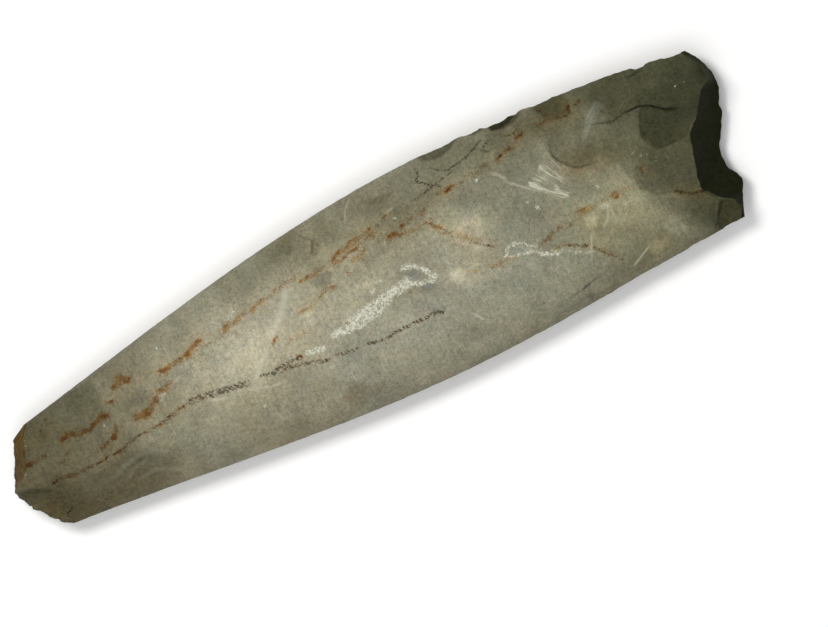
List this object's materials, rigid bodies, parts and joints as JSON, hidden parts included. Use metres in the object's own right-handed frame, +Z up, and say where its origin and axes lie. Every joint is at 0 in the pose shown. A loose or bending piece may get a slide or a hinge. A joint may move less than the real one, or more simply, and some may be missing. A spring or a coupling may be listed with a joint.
{
  "type": "jadeite axe head",
  "caption": "Long, narrow polished stone axe head with a lens-shaped section, an oblique flaked butt and a broken-away cutting edge, lying on one face.",
  "frame": {"origin": "on the surface that the axe head lies on, under the middle of its outline", "axes": "+X along its length towards the broken cutting edge, +Y across its width, +Z up through its thickness"},
  "size_m": [0.26, 0.0682, 0.026],
  "materials": {
    "stone": "grey-green jadeite, satin polished, with rust-brown veins, pale crystals and dull dark fracture scars"
  },
  "bodies": {
    "root": {"axe_head": "stone"}
  },
  "joints": []
}
